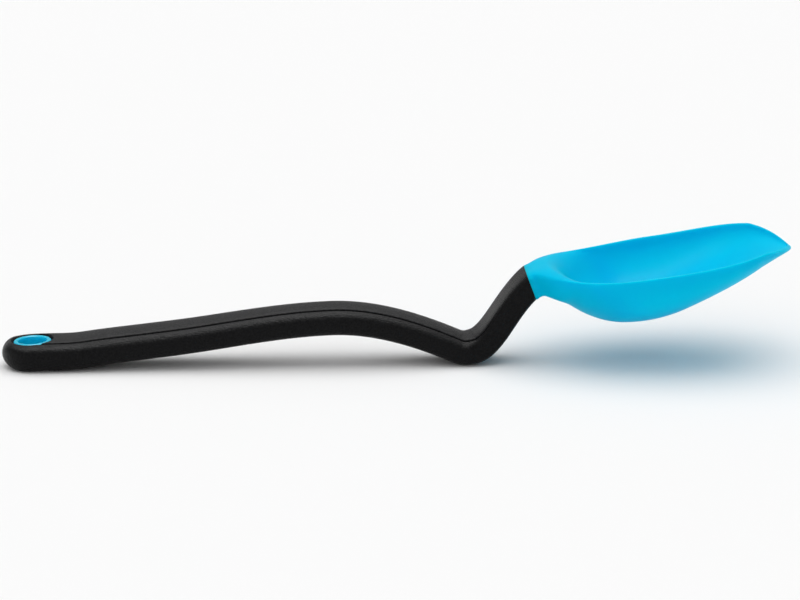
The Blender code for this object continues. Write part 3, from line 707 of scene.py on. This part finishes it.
def head_stations():
    """Places along the spoon: close at the neck and crest, wide over the bowl, closer again at the toe.

    The first two stretches have even steps, and the toe's follow the sine of equal turns.
    """
    neck = np.linspace(HEAD_START, DECK_HEEL[0], NECK_ROWS, endpoint=False)
    bowl = np.linspace(DECK_HEEL[0], LIP_PLACE - TOE_RUN, BOWL_ROWS, endpoint=False)
    sweep = np.sin(np.linspace(0.0, 0.5 * math.pi, TOE_ROWS, endpoint=False))
    toe = LIP_PLACE - TOE_RUN + (HEAD_LENGTH - LIP_PLACE + TOE_RUN) * sweep
    return np.concatenate([neck, bowl, toe])


print("rings along the spoon:", len(head_stations()))

# %% The finished spoon
head_points = eased_rim(head_rings(head_stations())) + JOINT_TOP
lip_tip = JOINT_TOP + np.array([HEAD_LENGTH, 0.0, LIP_HEIGHT - 0.5 * LIP_THICKNESS])
spoon = add_mesh("spoon_moulding", *tube(head_points, end=lip_tip), crease=60.0)
pocket = tongue_rings(band_share, spare=POCKET_SPARE)
cut(spoon, add_mesh("tongue_pocket", *tube(pocket)))
print("spoon faces with the pocket:", len(spoon.data.polygons))

# %% [markdown]
# ## The hang ring
#
# A separate ring of the same silicone lines the hang hole, so the tool can hang on a hook
# without a clatter. It is a turned shape: one rounded rectangle carried round a circle.
# Its grid closes on itself both ways, so it needs no end faces.

# %% The ring's grid
RING_EDGE = 0.5
OUTLINE_STEPS, TURN_STEPS = 32, 128


def ring_points(at):
    """A rounded rectangle, a quarter circle at each corner, turned about the section's upright line."""
    corner = np.linspace(0.0, 2.0 * math.pi, OUTLINE_STEPS, endpoint=False) + math.pi / OUTLINE_STEPS
    top, bottom = at.crown - RING_SINK, RING_SOLE_SINK - at.belly
    wall = 0.25 * (RING_DIAMETER - RING_BORE) - RING_EDGE
    radius = 0.25 * (RING_DIAMETER + RING_BORE) + wall * np.sign(np.cos(corner)) + RING_EDGE * np.cos(corner)
    tall = 0.5 * (top - bottom) - RING_EDGE
    height = 0.5 * (top + bottom) + tall * np.sign(np.sin(corner)) + RING_EDGE * np.sin(corner)
    turn = np.linspace(0.0, 2.0 * math.pi, TURN_STEPS, endpoint=False)[:, None]
    along = radius * np.cos(turn)
    across = radius * np.sin(turn)
    middle = place(at, 0.0, 0.0)
    x = middle[0] + along * math.cos(at.tilt) - height * math.sin(at.tilt)
    z = middle[2] + along * math.sin(at.tilt) + height * math.cos(at.tilt)
    return np.stack([x, across, z], axis=-1)


def wrapped_faces(rows, columns):
    """Faces of a grid whose last row meets its first, and whose last column meets its first."""
    at = np.arange(rows * columns).reshape(rows, columns)
    beside = np.roll(at, -1, axis=1)
    corners = [at, beside, np.roll(beside, -1, axis=0), np.roll(at, -1, axis=0)]
    return np.stack(corners, axis=-1).reshape(-1, 4).tolist()


grid = ring_points(ring_section)
hang_ring = add_mesh("hang_ring", grid.reshape(-1, 3), wrapped_faces(*grid.shape[:2]))

# %% [markdown]
# ## Finishes
#
# All three plastics are moulded, and the mould's own skin is what the eye reads. The handle's
# mould is spark-eroded, which leaves a fine pebble on both blacks. The spoon's silicone comes
# from a finely blasted mould, so it is satin, and the hang ring's from a polished one, so it
# shines. The refractive index stays at 1.5, which is close for all of them.

# %% Colour and node helpers
# A Mix node's sockets go by number: 0 is the share, 2 and 3 are two numbers, and 6 and 7 are
# two colours. Its outputs do too: 0 is the mixed number and 2 the mixed colour.


def linear(code):
    """A hex colour as the linear red, green, blue and alpha that the shader wants."""
    srgb = np.array([int(code[k:k + 2], 16) for k in (1, 3, 5)]) / 255.0
    rgb = np.where(srgb <= 0.04045, srgb / 12.92, ((srgb + 0.055) / 1.055) ** 2.4)
    return (*rgb.tolist(), 1.0)


def add_node(tree, kind, values=None, links=None, **settings):
    """Adds a node with its settings, its input values and its links from other sockets."""
    node = tree.nodes.new(kind)
    for name, value in settings.items():
        setattr(node, name, value)
    for socket, value in (values or {}).items():
        node.inputs[socket].default_value = value
    for socket, source in (links or {}).items():
        tree.links.new(source, node.inputs[socket])
    return node


print("the hex grey #808080 is", round(linear("#808080")[0], 3), "in linear light")

# %% A base material, and the spark-eroded skin with a painted sheen on its grain
SPARK_GRAIN = 0.6


def base_material(name, roughness, specular):
    """A material with the Principled shader's own sockets set, its tree and its shader."""
    made = bpy.data.materials.new(name)
    made.use_nodes = True
    shader = made.node_tree.nodes["Principled BSDF"]
    shader.inputs["Roughness"].default_value = roughness
    shader.inputs["Specular IOR Level"].default_value = specular
    return made, made.node_tree, shader


def spark_grain_and_painted_sheen(tree, shader, colours, depth):
    """Spark-eroded skin: a pebble that lifts the surface, and a painted sheen that lightens its tops.

    A real spark-eroded grain is about 0.15 mm, finer than a pixel, so it is drawn at 0.6 mm.
    """
    place_on = add_node(tree, "ShaderNodeTexCoord")
    pebble = add_node(tree, "ShaderNodeTexNoise",
                      {"Scale": 1.0 / (SPARK_GRAIN * MM), "Detail": 3.0, "Roughness": 0.6},
                      {"Vector": place_on.outputs["Object"]})
    # The pebble's height also sets the colour: a painted sheen on its raised tops, painted shade in its
    # hollows.
    painted_top_sheen = add_node(tree, "ShaderNodeMapRange", {"From Min": 0.35, "From Max": 0.65},
                    {"Value": pebble.outputs["Fac"]})
    tint = add_node(tree, "ShaderNodeMix", {6: linear(colours[0]), 7: linear(colours[1])},
                    {0: painted_top_sheen.outputs["Result"]}, data_type="RGBA")
    tree.links.new(tint.outputs[2], shader.inputs["Base Color"])
    lift = add_node(tree, "ShaderNodeBump", {"Strength": 1.0, "Distance": depth * MM},
                    {"Height": pebble.outputs["Fac"]})
    tree.links.new(lift.outputs["Normal"], shader.inputs["Normal"])


print("the pebble is drawn at", SPARK_GRAIN, "mm")

# %% The three plastics
FLOW_PATCH, BLAST_GRAIN, BLAST_DEPTH = 14.0, 0.7, 0.02
GLOW_DEPTH = 4.0


def soft_touch_elastomer():
    """Thermoplastic elastomer, moulded: soft, very dark and dull, so its sides swallow light."""
    made, tree, shader = base_material("soft_touch_elastomer_moulded", 0.3, 0.09)
    # The lighter of the two colours is the painted sheen on the pebble's tops.
    spark_grain_and_painted_sheen(tree, shader, ("#050506", "#131314"), depth=0.3)
    return made


def glass_filled_nylon():
    """Glass-filled nylon, moulded in the same skin: harder and greyer, with a low sheen."""
    made, tree, shader = base_material("glass_filled_nylon_spark_textured", 0.4, 0.1)
    # The lighter of the two colours is the painted sheen on the pebble's tops.
    spark_grain_and_painted_sheen(tree, shader, ("#111112", "#2e2e2f"), depth=0.26)
    return made


def silicone_rubber(name, roughness, specular):
    """Liquid silicone rubber, moulded: one strong blue that the light soaks into a little.

    The pigment's flow shows as faint patches the size of a fingertip. A blasted mould's grain
    is about 0.1 mm, finer than a pixel, so it is drawn at 0.7 mm and very shallow.
    """
    made, tree, shader = base_material(name, roughness, specular)
    shader.inputs["Subsurface Weight"].default_value = 0.7
    shader.inputs["Subsurface Radius"].default_value = (0.1, 0.8, 1.0)
    shader.inputs["Subsurface Scale"].default_value = GLOW_DEPTH * MM
    place_on = add_node(tree, "ShaderNodeTexCoord")
    flow = add_node(tree, "ShaderNodeTexNoise", {"Scale": 1.0 / (FLOW_PATCH * MM), "Detail": 2.0},
                    {"Vector": place_on.outputs["Object"]})
    tint = add_node(tree, "ShaderNodeMix", {6: linear("#00b7df"), 7: linear("#00bde3")},
                    {0: flow.outputs["Fac"]}, data_type="RGBA")
    tree.links.new(tint.outputs[2], shader.inputs["Base Color"])
    blast = add_node(tree, "ShaderNodeTexNoise", {"Scale": 1.0 / (BLAST_GRAIN * MM), "Detail": 2.0},
                     {"Vector": place_on.outputs["Object"]})
    lift = add_node(tree, "ShaderNodeBump", {"Strength": 0.3, "Distance": BLAST_DEPTH * MM},
                    {"Height": blast.outputs["Fac"]})
    tree.links.new(lift.outputs["Normal"], shader.inputs["Normal"])
    return made


elastomer = soft_touch_elastomer()
nylon = glass_filled_nylon()
satin_silicone = silicone_rubber("silicone_rubber_satin_moulded", 0.34, 0.02)
polished_silicone = silicone_rubber("silicone_rubber_polished_moulded", 0.25, 0.4)
print("finishes:", [made.name for made in (elastomer, nylon, satin_silicone, polished_silicone)])

# %% Dressing the pieces
for piece, node, slot, look in (
    (grip, "grip", "black_grip", elastomer),
    (spine, "core", "black_nylon", nylon),
    (spoon, "spoon_head", "blue_silicone", satin_silicone),
    (hang_ring, "hang_eyelet", "blue_silicone", polished_silicone),
):
    piece.data.materials.clear()
    piece.data.materials.append(look)
    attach(piece, "root")
    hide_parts(node)
    print(piece.name, "stands for", node)

# %% [markdown]
# ## Bench and light
#
# The bench is one pale sheet. One wide overhead lamp and a soft sky add up to a level at
# which a colour renders about as it is written. The lamp is a sun with a broad disc, so the
# shadow is soft and the bench is lit alike everywhere. It leans from behind the tool, so the
# shadow falls a little towards the camera. A second sun is seen only in reflections: it draws
# the soft glow along the handle's shoulders and adds no light of its own to the colours.
# The sky is brighter overhead than at the sides, with one broad glow high in front of the
# tool and to its left, as from a softbox beside the camera.

# %% The bench
BENCH_SEEN, BENCH_FELT = "#f4f4f4", "#eeeeee"
BENCH_SIZE = 8.0


def pale_bench():
    """A matt sheet that keeps the shadow: pale to the eye and in reflections, greyer as a light source."""
    made, tree, shader = base_material("matt_pale_sheet", 0.9, 0.0)
    ray = add_node(tree, "ShaderNodeLightPath")
    seen = add_node(tree, "ShaderNodeMath",
                    links={0: ray.outputs["Is Camera Ray"], 1: ray.outputs["Is Glossy Ray"]},
                    operation="MAXIMUM")
    tint = add_node(tree, "ShaderNodeMix", {6: linear(BENCH_FELT), 7: linear(BENCH_SEEN)},
                    {0: seen.outputs["Value"]}, data_type="RGBA")
    tree.links.new(tint.outputs[2], shader.inputs["Base Color"])
    return made


bpy.ops.mesh.primitive_plane_add(size=BENCH_SIZE)
bench = bpy.context.object
bench.name = "bench_sheet"
bench.data.materials.append(pale_bench())
print("the bench is", BENCH_SIZE, "m across")

# %% The lamps
# A sun of strength pi, straight above, lights a level sheet so that it renders as written.
# Each lamp is given as a share of that.
LAMP_SHARE, LAMP_DISC = 0.42, 70.0
SHEEN_SHARE, SHEEN_DISC = 1.15, 40.0
LAMP_LEAN = -8.0

for name, share, disc in (
    ("overhead_lamp", LAMP_SHARE, LAMP_DISC),
    ("overhead_sheen", SHEEN_SHARE, SHEEN_DISC),
):
    lamp = bpy.data.lights.new(name, "SUN")
    lamp.energy = share * math.pi
    lamp.angle = math.radians(disc)
    above = bpy.data.objects.new(name, lamp)
    above.rotation_euler = (math.radians(LAMP_LEAN), 0.0, 0.0)
    above.visible_diffuse = name == "overhead_lamp"
    bpy.context.scene.collection.objects.link(above)
    print(name, "has a strength of", round(lamp.energy, 2))

# %% The sky
SKY_TOP, SKY_SIDE, BACKDROP = 0.53, 0.36, 0.9
FRONT_LIGHT, FRONT_RISE, FRONT_TURN, FRONT_FOCUS = 0.75, 46.0, -25.0, 4.0

rise, turn = math.radians(FRONT_RISE), math.radians(FRONT_TURN)
front = (math.sin(turn) * math.cos(rise), -math.cos(turn) * math.cos(rise), math.sin(rise))
sky = bpy.data.worlds.new("overhead_softbox")
sky.use_nodes = True
tree = sky.node_tree
direction = add_node(tree, "ShaderNodeTexCoord")
upward = add_node(tree, "ShaderNodeSeparateXYZ", links={"Vector": direction.outputs["Generated"]})
level = add_node(tree, "ShaderNodeMapRange", {"To Min": SKY_SIDE, "To Max": SKY_TOP},
                 {"Value": upward.outputs["Z"]})
facing = add_node(tree, "ShaderNodeVectorMath", {1: front},
                  {0: direction.outputs["Generated"]}, operation="DOT_PRODUCT")
ahead = add_node(tree, "ShaderNodeMath", {1: 0.0}, {0: facing.outputs["Value"]}, operation="MAXIMUM")
lobe = add_node(tree, "ShaderNodeMath", {1: FRONT_FOCUS}, {0: ahead.outputs["Value"]}, operation="POWER")
softbox = add_node(tree, "ShaderNodeMath", {1: FRONT_LIGHT},
                   {0: lobe.outputs["Value"], 2: level.outputs["Result"]}, operation="MULTIPLY_ADD")
ray = add_node(tree, "ShaderNodeLightPath")
strength = add_node(tree, "ShaderNodeMix", {3: BACKDROP},
                    {0: ray.outputs["Is Camera Ray"], 2: softbox.outputs["Value"]})
background = tree.nodes["Background"]
background.inputs["Color"].default_value = (1.0, 1.0, 1.0, 1.0)
tree.links.new(strength.outputs[0], background.inputs["Strength"])
bpy.context.scene.world = sky
bpy.context.scene.view_settings.view_transform = "Standard"
print("the front glow comes from", np.round(front, 2).tolist())

# %% [markdown]
# ## The camera
#
# The tool was photographed from its side, a little from above, with a long lens. The tail is
# slightly nearer than the lip. Three angles give the camera's axes, and it then backs away
# from the point that it looks at, which is simpler than aiming it with a constraint.

# %% The camera at the photograph's angle
ELEVATION, YAW, ROLL = 15.0, 3.6, 0.26
DISTANCE = 1600.0
AIM = np.array([0.0, 0.0, 22.0])
AIM_RIGHT, AIM_UP = 0.90, 0.63
LENS = 203.5


def camera_axes():
    """Right, up and forward of the camera, from its elevation, yaw and roll."""
    elevation, yaw, roll = (math.radians(angle) for angle in (ELEVATION, YAW, ROLL))
    level = math.cos(elevation)
    forward = np.array([math.sin(yaw) * level, math.cos(yaw) * level, -math.sin(elevation)])
    right = np.array([math.cos(yaw), -math.sin(yaw), 0.0])
    up = np.cross(right, forward)
    rolled_right = right * math.cos(roll) + up * math.sin(roll)
    rolled_up = up * math.cos(roll) - right * math.sin(roll)
    return rolled_right, rolled_up, forward


right, up, forward = camera_axes()
eye = (AIM + right * AIM_RIGHT + up * AIM_UP - forward * DISTANCE) * MM
camera = bpy.data.cameras.new("camera")
camera.lens = LENS
viewer = bpy.data.objects.new("camera", camera)
placing = np.eye(4)
placing[:3, :3] = np.stack([right, up, -forward], axis=1)
placing[:3, 3] = eye
bpy.context.scene.collection.objects.link(viewer)
# Blender reads a plain list of lists column by column.
viewer.matrix_world = placing.T.tolist()
bpy.context.scene.camera = viewer
print("the camera stands at", np.round(eye, 3).tolist())
